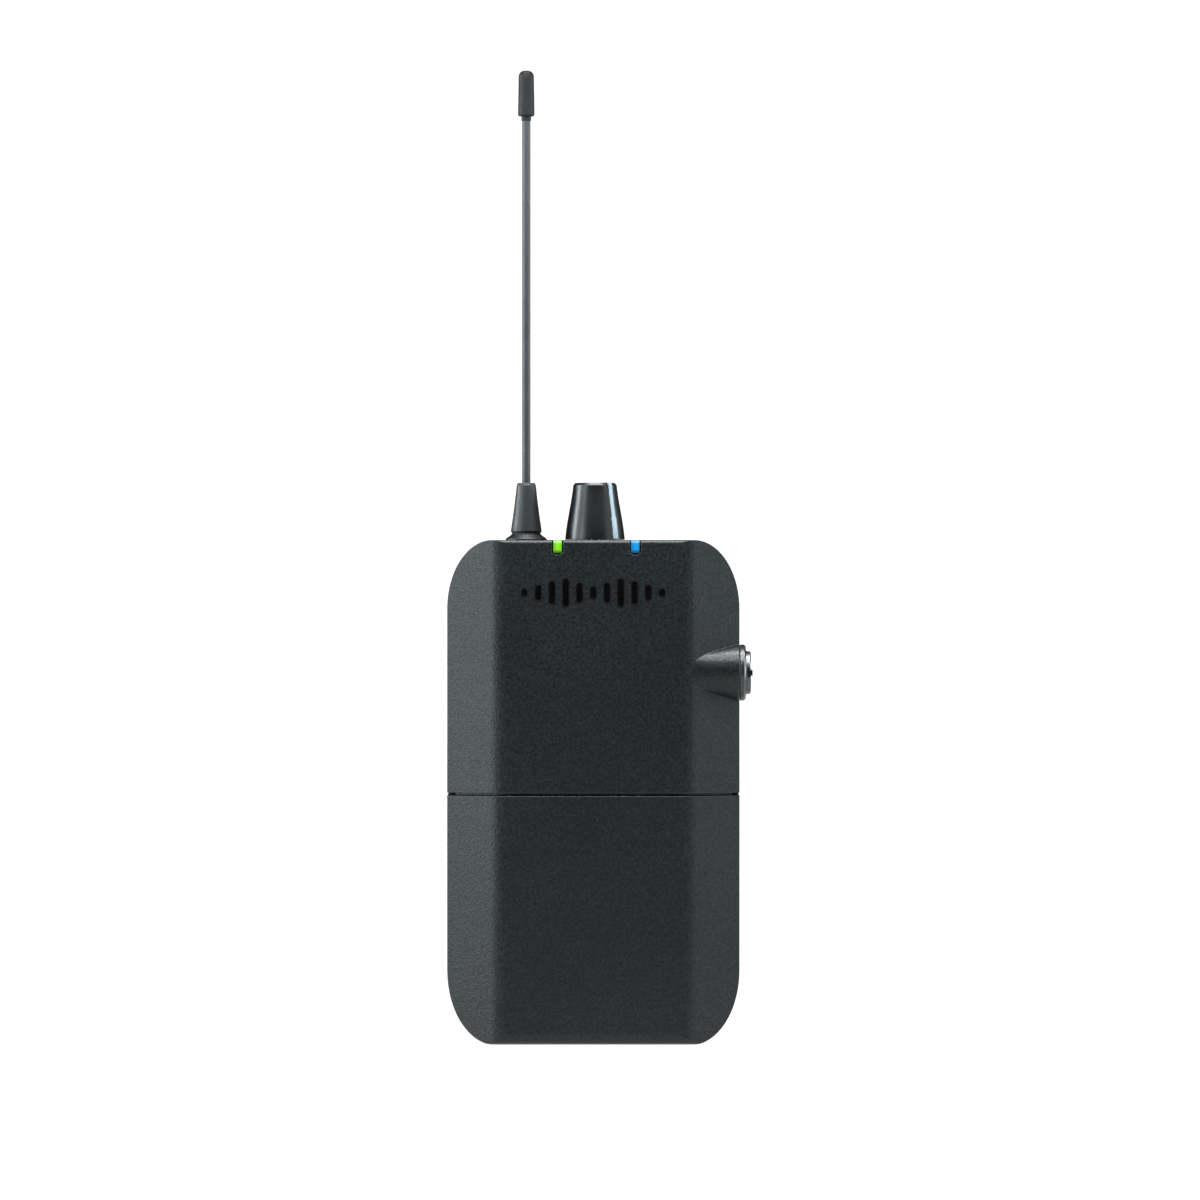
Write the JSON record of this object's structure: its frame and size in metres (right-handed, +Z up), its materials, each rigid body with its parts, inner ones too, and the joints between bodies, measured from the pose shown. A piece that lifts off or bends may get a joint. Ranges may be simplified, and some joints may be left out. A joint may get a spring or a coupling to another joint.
{
  "type": "wireless bodypack",
  "caption": "Belt-worn wireless audio pack with a whip antenna, a volume knob, a headphone jack, a hinged battery door and a sprung belt clip.",
  "frame": {"origin": "middle of the flat bottom of the casing", "axes": "+Z up along the antenna, -Y to the front face, +X to the side with the headphone jack"},
  "size_m": [0.0668, 0.0266, 0.2133],
  "materials": {
    "casing": "fine spark-eroded moulding texture",
    "inner_plastic": "plain moulded",
    "knob_plastic": "polished moulding",
    "pointer": "satin inlay",
    "mark": "gloss print",
    "antenna_rubber": "moulded over a spring wire",
    "light_green": "clear light pipe, lit green",
    "light_blue": "clear light pipe, lit blue",
    "smoked_window": "smoked window",
    "black_metal": "black oxide",
    "steel": "bright steel",
    "gold_contact": "plated contact",
    "board": "solder resist",
    "chip": "moulded epoxy",
    "cell_sleeve": "printed sleeve, plain",
    "foam": "soft foam",
    "label": "blank foil label"
  },
  "bodies": {
    "case": {"front_shell": "casing", "rear_shell": "casing", "door_hinge_pins": "steel", "battery_tray": "inner_plastic", "battery_left": "cell_sleeve", "battery_right": "cell_sleeve", "bridge_contact": "steel", "contact_plates": "steel", "contact_springs": "steel", "control_boards": "board", "tact_switches": "chip", "mode_switch_body": "chip", "display_module": "chip", "display_window": "smoked_window", "ir_window": "smoked_window", "main_board": "board", "shield_can": "steel", "board_chips": "chip", "board_connector": "chip", "led_chips": "pointer", "power_light_pipe": "light_green", "signal_light_pipe": "light_blue", "case_screws": "black_metal", "pot_body": "chip", "antenna_whip": "antenna_rubber", "antenna_tip": "antenna_rubber", "antenna_boot": "antenna_rubber", "antenna_ferrule": "gold_contact", "jack_bushing": "knob_plastic", "jack_housing": "chip", "jack_contacts": "gold_contact", "jack_washer": "black_metal", "jack_nut": "black_metal", "clip_pin": "steel", "clip_spring": "steel", "rating_label": "label", "front_mark": "mark"},
    "door": {"battery_door": "casing", "door_foam_pad": "foam"},
    "left_latch": {"latch_tab_left": "casing", "latch_spring_left": "steel"},
    "right_latch": {"latch_tab_right": "casing", "latch_spring_right": "steel"},
    "knob": {"volume_knob": "knob_plastic", "knob_pointer": "pointer", "pot_shaft": "steel"},
    "scan_key": {"scan_button": "inner_plastic"},
    "set_key": {"set_button": "inner_plastic"},
    "slide_switch": {"mode_switch": "pointer"},
    "clip": {"belt_clip": "black_metal"}
  },
  "joints": [
    {"name": "volume_turn", "type": "hinge", "parent": "case", "child": "knob", "pos_m": [0.00036, 0, 0.1106], "axis": [0, 0, -1], "range_deg": [-106, 194]},
    {"name": "door_open", "type": "hinge", "parent": "case", "child": "door", "pos_m": [0, -0.008, 0.0025], "axis": [1, 0, 0], "range_deg": [0, 90]},
    {"name": "left_latch_press", "type": "slide", "parent": "door", "child": "left_latch", "axis": [1, 0, 0], "range_m": [0, 0.001], "stiffness_N_per_m": 800, "springref_m": -0.001, "deforming": ["latch_spring_left"]},
    {"name": "right_latch_press", "type": "slide", "parent": "door", "child": "right_latch", "axis": [-1, 0, 0], "range_m": [0, 0.001], "stiffness_N_per_m": 800, "springref_m": -0.001, "deforming": ["latch_spring_right"]},
    {"name": "scan_press", "type": "slide", "parent": "case", "child": "scan_key", "axis": [0, 1, 0], "range_m": [0, 0.0004], "stiffness_N_per_m": 1500, "springref_m": -0.0003},
    {"name": "set_press", "type": "slide", "parent": "case", "child": "set_key", "axis": [0, 1, 0], "range_m": [0, 0.0004], "stiffness_N_per_m": 1500, "springref_m": -0.0003},
    {"name": "mode_slide", "type": "slide", "parent": "case", "child": "slide_switch", "axis": [0, 0, 1], "range_m": [0, 0.002]},
    {"name": "clip_swing", "type": "hinge", "parent": "case", "child": "clip", "pos_m": [0, 0.0132, 0.092], "axis": [1, 0, 0], "range_deg": [0, 15], "stiffness_Nm_per_rad": 0.6, "springref_deg": -22.92}
  ]
}
